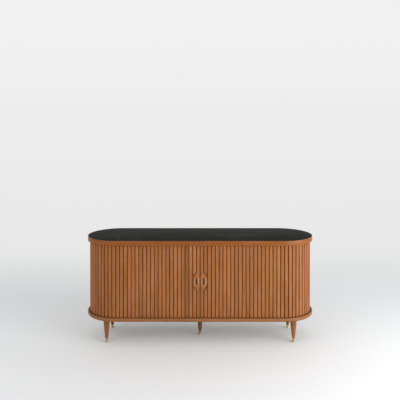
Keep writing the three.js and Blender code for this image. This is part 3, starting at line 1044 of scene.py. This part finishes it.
@dataclass
class Legs:
    """Five turned legs on brass feet. One leg and one foot are turned and copied."""

    joinery: Joinery
    steps: int = 40
    top_radius: float = 0.0272
    shoulder_radius: float = 0.0263
    shoulder_drop: float = 0.014
    end_radius: float = 0.0115
    swell: float = 0.0008
    socket_radius: float = 0.0033
    socket_depth: float = 0.019
    wood_drop: float = 0.005
    foot_base_radius: float = 0.0085
    foot_ball_radius: float = 0.0145
    foot_ball_top: float = 0.017
    foot_neck_radius: float = 0.0085
    foot_neck_top: float = 0.0215
    foot_collar_radius: float = 0.0107
    foot_collar_bottom: float = 0.0275
    foot_collar_ease: float = 0.0004
    foot_stud_radius: float = 0.003
    profile_steps: int = 10

    def leg_profile(self, low: float, high: float) -> list[Span]:
        """Gives the profile of a leg.

        Args:
            low: The height of its lower end.
            high: The height of its top.

        Returns:
            Radius and height of each step, from the socket of the foot's stud upwards.
        """
        rise = high - self.shoulder_drop - low
        profile = [
            (self.socket_radius, low + self.socket_depth),
            (self.socket_radius, low),
            (self.end_radius - self.swell, low),
            (self.end_radius, low + self.swell),
        ]
        for step in range(1, self.profile_steps + 1):
            share = step / self.profile_steps
            radius = self.end_radius + (self.shoulder_radius - self.end_radius) * share
            radius += self.swell * math.sin(share * HALF_TURN)
            profile.append((radius, low + rise * share))
        profile.append((self.top_radius, high - self.swell))
        profile.append((self.top_radius - self.swell, high))
        return profile

    def foot_profile(self, top: float, stud_top: float) -> list[Span]:
        """Gives the profile of a foot.

        Args:
            top: The height of its collar's top.
            stud_top: The height of its stud's top.

        Returns:
            Radius and height of each step.
        """
        profile = []
        down = -math.acos(self.foot_base_radius / self.foot_ball_radius)
        up = math.acos(self.foot_neck_radius / self.foot_ball_radius)
        for step in range(2 * self.profile_steps + 1):
            angle = down + (up - down) * step / (2 * self.profile_steps)
            share = (math.sin(angle) - math.sin(down)) / (math.sin(up) - math.sin(down))
            profile.append((self.foot_ball_radius * math.cos(angle), self.foot_ball_top * share))
        flare = self.foot_collar_radius - self.foot_neck_radius
        for step in range(1, self.profile_steps + 1):
            share = step / self.profile_steps
            rise = (self.foot_collar_bottom - self.foot_neck_top) * share
            curve = flare * (1 - math.cos(share * QUARTER_TURN))
            profile.append((self.foot_neck_radius + curve, self.foot_neck_top + rise))
        return profile + [
            (self.foot_collar_radius, top - self.foot_collar_ease),
            (self.foot_collar_radius - self.foot_collar_ease, top),
            (self.foot_stud_radius, top),
            (self.foot_stud_radius, stud_top),
        ]

    def build(self) -> None:
        """Makes the legs and feet, and finishes their bolts."""
        low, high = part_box("centre_leg")
        _, stud_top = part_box("centre_foot")
        wood_end = low.z - self.wood_drop
        leg = turned("leg_pattern", self.leg_profile(wood_end, high.z), self.steps)
        foot = turned("foot_pattern", self.foot_profile(wood_end - SEAT, stud_top.z), self.steps)
        for place in ("front_left", "front_right", "rear_left", "rear_right", "centre"):
            low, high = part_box(f"{place}_leg")
            middle = (low + high) / 2
            move = Matrix.Translation((middle.x, middle.y, 0))
            # the rear and centre legs get the darker copy of the leg wood, a painted shade
            wood = LEG_WOOD if place.startswith("front") else SHADED_LEG_WOOD
            turned_leg = twin(leg, f"{place}_turned_leg", move)
            self.joinery.fit(turned_leg, wood, node=f"{place}_leg")
            turned_foot = twin(foot, f"{place}_brass_foot", move)
            self.joinery.fit(turned_foot, FOOT_BRASS, node=f"{place}_foot")
            self.joinery.refinish(f"{place}_leg_bolt", ZINC)
        discard(leg, foot)


@dataclass
class Carcass:
    """The fixed walls, divider, shelves, cleats and stops inside and behind the doors."""

    plan: Plan
    joinery: Joinery
    shell_start: float = math.radians(104)
    liner_start: float = math.radians(6)
    edge_ease: float = 0.0008
    shell_wall: float = 0.007
    liner_wall: float = 0.006

    def build(self) -> None:
        """Makes the fixed walls and boards."""
        self.build_walls()
        self.build_boards()
        for side, _ in SIDES:
            for name in ("divider_cleat", "end_cleat", "door_stop"):
                self.joinery.refinish(f"{side}_{name}", BOARD_WOOD)

    def dress(self, board: bpy.types.Object, finish: WoodFinish, node: str) -> None:
        """Eases the edges of a board or wall, and finishes it."""
        ease(board, self.edge_ease)
        self.joinery.fit(board, finish, node=node)

    def build_walls(self) -> None:
        """Makes the back shell and the liners round the ends."""
        spans = skin("back_shell", self.shell_wall)
        shell = self.plan.wall("rear_shell", *spans, start=self.shell_start, whole=True)
        self.dress(shell, SHELL_WOOD, "back_shell")
        for name, side in SIDES:
            spans = skin(f"{name}_end_liner", self.liner_wall)
            liner = self.plan.wall(f"{name}_liner", *spans, side=side, start=self.liner_start)
            self.dress(liner, SHELL_WOOD, f"{name}_end_liner")

    def build_boards(self) -> None:
        """Makes the inner back, the divider and the shelves."""
        for name, node in (("inner_back", "inner_back_panel"), ("divider", "centre_divider")):
            self.dress(block(name, *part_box(node)), BOARD_WOOD, node)
        for name, side in SIDES:
            low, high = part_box(f"{name}_shelf")
            inner = high.x if side < 0 else low.x
            shelf = self.plan.slab(f"{name}_shelf_board", f"{name}_shelf")
            with editing(shelf):
                for place, normal in (((inner, 0, 0), (side, 0, 0)), ((0, low.y, 0), (0, 1, 0))):
                    select_all()
                    bpy.ops.mesh.bisect(
                        plane_co=place, plane_no=normal, clear_inner=True, use_fill=True
                    )
                face_outwards()
            self.dress(shelf, BOARD_WOOD, f"{name}_shelf")


@dataclass(frozen=True)
class SlatSizes:
    """The section of a slat and of the canvas behind it."""

    gap: float = 0.0046
    thickness: float = 0.013
    rounding: float = 0.0034
    rounding_steps: int = 4
    crown: float = 0.0007
    crown_steps: int = 6
    end_clearance: float = 0.002
    tenon_width: float = 0.006
    tenon_thickness: float = 0.004
    canvas: float = 0.001
    canvas_margin: float = 0.003
    canvas_joint: float = 0.0016
    # how far back from the face the painted gap shade on a slat's sides reaches
    gap_shade_depth: float = 0.005


@dataclass
class TambourDoor:
    """One sliding curtain of slats on canvas, with its handle's cuts in it."""

    name: str
    side: int
    plan: Plan
    joinery: Joinery
    draws: random.Random
    sizes: SlatSizes = SlatSizes()
    bend_slats: int = 7
    tone_spread: float = 0.06
    hue_spread: float = 0.0018
    richness_spread: float = 0.01

    def __post_init__(self) -> None:
        """Reads the pitch, the track and the counts from the frame."""
        first, second = (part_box(f"right_door_bend_slat_{n}") for n in (1, 2))
        self.pitch = (second[0].x + second[1].x - first[0].x - first[1].x) / 2
        self.front = -first[0].y
        self.back = self.front - self.sizes.thickness
        self.on_straight = round(self.plan.half_straight / self.pitch)
        self.seam_shift = self.on_straight * self.pitch - self.plan.half_straight
        self.leading = self.on_straight - self.bend_slats
        self.turn = self.pitch / self.back
        self.low, self.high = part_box("base_panel")[1].z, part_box("top_panel")[0].z
        self.tenons = (first[0].z, first[1].z)
        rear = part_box("right_door_end_panel")[1].y
        span = QUARTER_TURN + math.asin(min(rear / self.front, 1))
        self.last = self.on_straight + round(span / self.turn)

    def home_of(self, number: int) -> tuple[str, str]:
        """Names what a slat belongs to.

        Args:
            number: The slat, from 1 at the middle of the front.

        Returns:
            The body that it moves with, and its node of the frame.
        """
        door = f"{self.name}_door"
        if number <= self.leading:
            return f"{door}_front", f"{door}_front_panel"
        if number <= self.on_straight:
            bend = number - self.leading
            return f"{door}_bend_{bend}", f"{door}_bend_slat_{bend}"
        return f"{door}_end", f"{door}_end_panel"

    def along(self, distance: float) -> Matrix:
        """Gives the move from the middle of the front towards the door's end."""
        return Matrix.Translation((self.side * distance, 0, 0))

    def move_of(self, number: int) -> Matrix:
        """Gives the move from the middle of the front to a slat's place.

        Args:
            number: The slat.

        Returns:
            The move, which also narrows the first slat.
        """
        if number == 1:
            narrow = 1 - self.seam_shift / (self.pitch - self.sizes.gap)
            move = self.along((self.pitch - self.seam_shift) / 2)
            return move @ Matrix.Diagonal((narrow, 1, 1, 1))
        if number <= self.on_straight:
            return self.along((number - 0.5) * self.pitch - self.seam_shift)
        angle = self.side * (number - self.on_straight - 0.5) * self.turn
        return self.along(self.plan.half_straight) @ Matrix.Rotation(angle, 4, "Z")

    def build_pattern(self) -> bpy.types.Object:
        """Makes one slat with its tenons, at the middle of the front.

        Returns:
            The slat that all others are copied from.
        """
        sizes = self.sizes
        half = (self.pitch - sizes.gap) / 2
        low, high = self.low + sizes.end_clearance, self.high - sizes.end_clearance
        border = (sizes.thickness - sizes.tenon_thickness) / 2
        narrow = sizes.tenon_width / (2 * (half - border))
        middle = -(self.front + self.back) / 2

        def on_corner(point: Vector) -> bool:
            """Says whether a point lies on one of the two front corners."""
            in_front = point.y < -self.front + sizes.crown + CLOSE
            return in_front and meets(abs(point.x), half)

        slat = block("slat_pattern", (-half, -self.front, low), (half, -self.back, high))
        with editing(slat):
            for end, tenon_end in ((low, self.tenons[0]), (high, self.tenons[1])):
                pick(slat, Pick.FACES, lambda p, end=end: meets(p.z, end))
                bpy.ops.mesh.inset(thickness=border)
                bpy.ops.transform.resize(value=(narrow, 1, 1), center_override=(0, middle, end))
                extrude((0, 0, tenon_end - end))
            self.crown_face(slat, half, low, high)
            pick(slat, Pick.EDGES, on_corner)
            bevel(sizes.rounding, sizes.rounding_steps)
            face_outwards()
        # painted shade: the depth attribute darkens the slat's sides towards the back, in the gaps
        # between slats
        mark(slat, "depth", lambda p: min((p.y + self.front) / sizes.gap_shade_depth, 1))
        return slat

    def crown_face(self, slat: bpy.types.Object, half: float, low: float, high: float) -> None:
        """Bows the face of a slat, in edit mode, so that its middle stands proudest.

        Args:
            slat: The slat.
            half: Half its width.
            low: The height of its lower end.
            high: The height of its upper end.
        """
        def on_face_end(point: Vector) -> bool:
            """Says whether a point lies on the upper or lower edge of the face."""
            at_end = meets(point.z, low) or meets(point.z, high)
            return at_end and meets(point.y, -self.front)

        pick(slat, Pick.EDGES, on_face_end)
        bpy.ops.mesh.subdivide(number_cuts=self.sizes.crown_steps - 1)
        for step in range(self.sizes.crown_steps // 2):
            share = 1 - 2 * step / self.sizes.crown_steps
            pick(
                slat, Pick.VERTICES,
                lambda p, x=half * share: on_face_end(p) and meets(abs(p.x), x),
            )
            bpy.ops.transform.translate(value=(0, self.sizes.crown * share**2, 0))

    def build_slats(
        self, pattern: bpy.types.Object, tools: dict[int, Sequence[bpy.types.Object]]
    ) -> None:
        """Copies the pattern into every slat of the door.

        Args:
            pattern: The slat at the middle of the front.
            tools: The shapes to cut out of slats, by the slats' numbers.
        """
        marks = (
            ("tone", 1, self.tone_spread), ("hue", HALF_WAY, self.hue_spread),
            ("richness", 1, self.richness_spread),
        )
        for number in range(1, self.last + 1):
            slat = twin(pattern, f"{self.name}_slat_{number:02d}", self.move_of(number))
            for tool in tools.get(number, ()):
                carve(slat, tool)
            for name, middle, spread in marks:
                value = self.draws.gauss(middle, spread)
                mark(slat, name, lambda _, value=value: value)
            self.joinery.fit(slat, SLAT_WOOD, *self.home_of(number))

    def build_canvas(self) -> None:
        """Makes the canvas behind the slats, a strip for each body."""
        low, high = self.low + self.sizes.canvas_margin, self.high - self.sizes.canvas_margin
        joint = self.sizes.canvas_joint / 2
        inner = self.back - self.sizes.canvas
        bends = range(self.leading + 1, self.on_straight + 1)
        for first, last in ((1, self.leading), *zip(bends, bends)):
            near = max((first - 1) * self.pitch - self.seam_shift, 0) + joint
            far = last * self.pitch - self.seam_shift - joint
            ends = sorted((self.side * near, self.side * far))
            name = f"{self.name}_canvas_{first:02d}"
            strip = block(name, (ends[0], -self.back, low), (ends[1], -inner, high))
            with editing(strip):
                select_all()
                bpy.ops.mesh.subdivide(number_cuts=1)
            self.glue(strip, first)
        span = (self.last - self.on_straight) * self.turn
        margin = joint / self.back
        strip = self.plan.wall(
            f"{self.name}_canvas_{self.last:02d}", (inner, self.back), (low, high),
            side=self.side, start=HALF_TURN - span + 2 * margin,
        )
        back = self.along(self.plan.half_straight)
        turn = Matrix.Rotation(-self.side * (HALF_TURN - span + margin), 4, "Z")
        strip.data.transform(back @ turn @ back.inverted())
        self.glue(strip, self.last)

    def glue(self, strip: bpy.types.Object, number: int) -> None:
        """Finishes a strip of canvas, cut to a size and held by the slats.

        Args:
            strip: The strip of canvas.
            number: A slat that it is glued to.
        """
        self.joinery.fit(strip, CANVAS, self.home_of(number)[0])


@dataclass
class Handle:
    """The stepped plate with its brass finger ring, let into the first two slats of a door."""

    name: str
    joinery: Joinery
    plate_straight: float = 0.069
    plate_rounding: float = 0.003
    plate_ease: float = 0.0003
    step_margin: float = 0.0034
    step_height: float = 0.102
    step_straight: float = 0.047
    step_rise: float = 0.002
    groove_width: float = 0.003
    groove_depth: float = 0.0038
    channel_width: float = 0.0066
    channel_depth: float = 0.006
    ring_straight: float = 0.04
    ring_ease: float = 0.0006
    slot_height: float = 0.05
    slot_corner: float = 0.006
    slot_margin: float = 0.0145
    sharp: float = 25

    def __post_init__(self) -> None:
        """Reads the handle's place and widths from the frame."""
        self.plate_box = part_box(f"{self.name}_handle_plate")
        self.ring_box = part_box(f"{self.name}_handle_ring")
        self.slat_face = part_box(f"{self.name}_door_front_panel")[0].y
        low, high = self.plate_box
        self.middle = (self.ring_box[0] + self.ring_box[1]) / 2
        self.half = max(high.x - self.middle.x, self.middle.x - low.x)
        self.slope = (high.z - low.z - self.plate_straight) / (2 * self.half)

    def pointed(
        self, name: str, width: float, height: float, straight: float, near: float, far: float
    ) -> bpy.types.Object:
        """Makes an upright six-sided plate with points above and below.

        Args:
            name: The piece's name, after that of the door.
            width: Its width.
            height: Its height from point to point.
            straight: The length of its upright sides.
            near: Where its back lies.
            far: Where its face lies.

        Returns:
            The piece.
        """
        deselect()
        bpy.ops.mesh.primitive_circle_add(
            vertices=6, radius=1, fill_type="NGON",
            location=(self.middle.x, near, self.middle.z), rotation=(QUARTER_TURN, 0, 0),
        )
        piece = settled(f"{self.name}_{name}", (width / math.sqrt(3), height / 2, 1))
        with editing(piece):
            pick(piece, Pick.VERTICES, lambda p: abs(p.x - self.middle.x) > width / 4)
            share = 2 * straight / height
            bpy.ops.transform.resize(value=(1, 1, share), center_override=self.middle)
            select_all()
            extrude((0, far - near, 0))
            face_outwards()
        return piece

    def slot_tool(self) -> bpy.types.Object:
        """Makes the shape of the finger slot.

        Returns:
            The shape, from in front of the ring into the slats.
        """
        half = (self.ring_box[1].x - self.ring_box[0].x) / 2 - self.slot_margin
        middle, rise = self.middle, self.slot_height / 2
        low = (middle.x - half, self.ring_box[0].y - TOOL_REACH, middle.z - rise)
        high = (middle.x + half, self.slat_face + SLOT_DEPTH, middle.z + rise)
        tool = block(f"{self.name}_slot_tool", low, high)
        with editing(tool):
            pick_items(
                tool, Pick.EDGES,
                lambda edge: abs(edge.verts[0].co.y - edge.verts[1].co.y) > half,
            )
            bevel(self.slot_corner, segments=5)
        return tool

    def recess_tool(self, gap: float, extra: float = 0) -> bpy.types.Object:
        """Makes the shape of the recess that the plate lies in.

        Args:
            gap: How far its slanted edges stay off the plate.
            extra: How much deeper it goes than the plate needs.

        Returns:
            The shape, from in front of the plate into the slats.
        """
        low, high = self.plate_box
        width = 2 * self.half + 4 * SEAT
        height = high.z - low.z + 2 * gap * math.hypot(1, self.slope)
        straight = height - self.slope * width
        floor = high.y + SEAT + extra
        return self.pointed("recess_tool", width, height, straight, floor, low.y - TOOL_REACH)

    def channel_tool(self) -> bpy.types.Object:
        """Makes the shape of the deep channel along the plate's slanted edges.

        Returns:
            The shape, with its middle left out.
        """
        channel = self.recess_tool(self.channel_width, self.channel_depth)
        core = self.recess_tool(SEAT, 2 * self.channel_depth)
        carve(channel, core)
        discard(core)
        return channel

    def trim(self, plate: bpy.types.Object, face: float) -> None:
        """Brings the plate's seam side back to its box, and rounds its upright edges.

        Args:
            plate: The plate, as wide on both sides of the ring.
            face: Where its face lies.
        """
        sides = [corner.x for corner in self.plate_box]
        near = min(sides, key=abs)
        side = math.copysign(1, near)
        step = side * self.half - self.middle.x + near
        with editing(plate):
            for level in (1, -1):
                pick(
                    plate, Pick.VERTICES,
                    lambda p, level=level: side * (self.middle.x - p.x) > self.half - CLOSE
                    and level * (p.z - self.middle.z) > 0,
                )
                rise = level * self.slope * abs(step)
                bpy.ops.transform.translate(value=(step, 0, rise))
            pick(
                plate, Pick.EDGES,
                lambda p: any(meets(p.x, x) for x in sides) and meets(p.y, face),
            )
            bevel(self.plate_rounding, segments=4)

    def stepped_plate(self) -> bpy.types.Object:
        """Makes the plate with its raised step, and the groove beside it away from the seam.

        Returns:
            The plate, without the finger slot.
        """
        low, high = self.plate_box
        face = low.y + self.step_rise
        in_front = low.y - TOOL_REACH
        floor = face + self.groove_depth
        plate = self.pointed(
            "pull_plate", 2 * self.half, high.z - low.z, self.plate_straight, high.y, face
        )
        self.trim(plate, face)
        step_width = 2 * (self.half - self.step_margin)
        wide = 2 * self.groove_width * math.hypot(1, self.slope)
        groove = self.pointed(
            "groove_tool", step_width - 2 * SEAT, self.step_height + wide,
            self.step_straight + wide, floor, in_front,
        )
        step = self.pointed(
            "step_tool", step_width, self.step_height, self.step_straight,
            (floor + high.y) / 2, low.y,
        )
        seam = self.middle.x - math.copysign(self.half, self.middle.x)
        ends = sorted((self.middle.x, seam))
        seam_half = block(
            f"{self.name}_half_tool", (ends[0], in_front, low.z), (ends[1], high.y, high.z)
        )
        carve(groove, seam_half)
        carve(plate, groove)
        carve(plate, step, Carve.ADD)
        discard(groove, step, seam_half)
        return plate

    def build(self, slot: bpy.types.Object) -> None:
        """Makes the plate and the ring.

        Args:
            slot: The shape of the finger slot.
        """
        body = f"{self.name}_door_front"
        plate = self.stepped_plate()
        carve(plate, slot)
        ease(plate, self.plate_ease, segments=2, angle=self.sharp)
        self.joinery.fit(plate, PLATE_WOOD, body, f"{self.name}_handle_plate")
        low, high = self.ring_box
        ring = self.pointed(
            "pull_ring", high.x - low.x, high.z - low.z, self.ring_straight, high.y, low.y
        )
        carve(ring, slot)
        ease(ring, self.ring_ease, segments=3, angle=self.sharp)
        self.joinery.fit(ring, RING_BRASS, body, f"{self.name}_handle_ring")


@dataclass(frozen=True)
class Lamp:
    """A soft square lamp that faces the cabinet, with its power in watts."""

    name: str
    place: Place
    size: float
    power: float

    def hang(self) -> None:
        """Makes the lamp."""
        data = bpy.data.lights.new(self.name, "AREA")
        data.size = self.size
        data.energy = self.power
        lamp = bpy.data.objects.new(self.name, data)
        lamp.location = self.place
        aim = Vector((0, 0, CAD_BOX[1].z / 2)) - Vector(self.place)
        lamp.rotation_euler = aim.to_track_quat("-Z", "Y").to_euler()
        bpy.context.scene.collection.objects.link(lamp)


@dataclass
class Studio:
    """A pale floor that curves up into a wall, soft lamps and the camera."""

    lamps: Sequence[Lamp] = (
        Lamp("key_lamp", (3.0, -2.6, 1.35), 2.8, 108),
        Lamp("side_lamp", (3.4, -1.2, 0.6), 1.5, 27),
        Lamp("fill_lamp", (-3.4, -2.9, 2), 3, 46),
    )
    floor_colour: str = "e6e7e8"
    floor_roughness: float = 0.9
    floor_gloss: float = 0.1
    far_colour: str = "e8e8e8"
    high_colour: str = "f1f1f1"
    far_span: Span = (0.9, 2.8)
    high_span: Span = (0, 3.2)
    floor_half: float = 7.0
    floor_front: float = 5.0
    floor_back: float = 3.2
    curve: float = 1.2
    curve_steps: int = 24
    wall_height: float = 5.0
    sky_strength: float = 0.75
    camera_place: Place = (0, -4.595, 1.7682)
    camera_pitch: float = 0.0093
    camera_lens: float = 51.36
    camera_sensor: float = 36
    camera_shift: Span = (-0.0002, -0.1972)

    def build(self) -> None:
        """Makes the stage, the lamps and the camera."""
        self.build_stage()
        for lamp in self.lamps:
            lamp.hang()
        self.place_camera()
        scene = bpy.context.scene
        scene.view_settings.view_transform = "Standard"
        scene.world = bpy.data.worlds.new("studio_air")
        scene.world.use_nodes = True
        sky = scene.world.node_tree.nodes["Background"].inputs
        sky["Color"].default_value = (1, 1, 1, 1)
        sky["Strength"].default_value = self.sky_strength

    def build_stage(self) -> None:
        """Makes the floor with its wall, in one sheet."""
        deselect()
        depth = self.floor_front + self.floor_back
        middle = (0, (self.floor_back - self.floor_front) / 2, 0)
        bpy.ops.mesh.primitive_plane_add(size=1, location=middle)
        floor = settled("studio_floor", (2 * self.floor_half, depth, 1))
        with editing(floor):
            pick(floor, Pick.EDGES, lambda p: meets(p.y, self.floor_back))
            spin(self.curve_steps, QUARTER_TURN, (0, self.floor_back, self.curve), (1, 0, 0))
            extrude((0, 0, self.wall_height))
        activate(floor)
        bpy.ops.object.shade_smooth()
        floor.data.materials.append(self.paper())

    def paper(self) -> bpy.types.Material:
        """Makes the material of the floor and wall.

        Returns:
            A matt paper that is lit near the cabinet and shows its own pale colour far behind it.
        """
        recipe = Recipe("studio_paper")
        recipe.wire(recipe.shader, {
            "Base Color": self.floor_colour, "Roughness": self.floor_roughness,
            "Specular IOR Level": self.floor_gloss,
        })
        place = recipe.parts(recipe.place())
        rise = recipe.fade(place["Z"], self.high_span)
        shade = recipe.blend(rise, self.far_colour, self.high_colour)
        glow = recipe.node("ShaderNodeEmission", {"Color": shade}).outputs["Emission"]
        rays = recipe.node("ShaderNodeLightPath", {}).outputs
        seen = recipe.maths("ADD", rays["Is Camera Ray"], rays["Is Glossy Ray"])
        seen = recipe.maths("ADD", seen, rays["Is Transmission Ray"])
        share = recipe.product(seen, recipe.fade(place["Y"], self.far_span))
        inputs = {0: share, 1: recipe.shader.outputs["BSDF"], 2: glow}
        mixed = recipe.node("ShaderNodeMixShader", inputs).outputs[0]
        recipe.wire(recipe.tree.nodes["Material Output"], {"Surface": mixed})
        return recipe.material

    def place_camera(self) -> None:
        """Places the camera as the cabinet was photographed."""
        data = bpy.data.cameras.new("camera")
        data.lens = self.camera_lens
        data.sensor_width = self.camera_sensor
        data.shift_x, data.shift_y = self.camera_shift
        camera = bpy.data.objects.new("camera", data)
        camera.location = self.camera_place
        camera.rotation_euler = (QUARTER_TURN - self.camera_pitch, 0, 0)
        bpy.context.scene.collection.objects.link(camera)
        bpy.context.scene.camera = camera


def main() -> None:
    """Builds the studio and the cabinet, one sub-assembly after another."""
    logging.basicConfig(level=logging.INFO, format="%(message)s")
    Studio().build()
    high = CAD_BOX[1]
    plan = Plan(half_straight=high.x - high.y, band_reach=high.y)
    joinery = Joinery()
    CabinetTop(plan, joinery).build()
    CabinetBase(plan, joinery).build()
    Legs(joinery).build()
    Carcass(plan, joinery).build()
    draws = random.Random(SLAT_SEED)
    for name, side in SIDES:
        door = TambourDoor(name, side, plan, joinery, draws)
        handle = Handle(name, joinery)
        slot = handle.slot_tool()
        close, channel = handle.recess_tool(SEAT), handle.channel_tool()
        pattern = door.build_pattern()
        door.build_slats(pattern, {1: (slot, close), 2: (slot, close, channel)})
        door.build_canvas()
        handle.build(slot)
        discard(pattern, slot, close, channel)


if __name__ == "__main__":
    main()
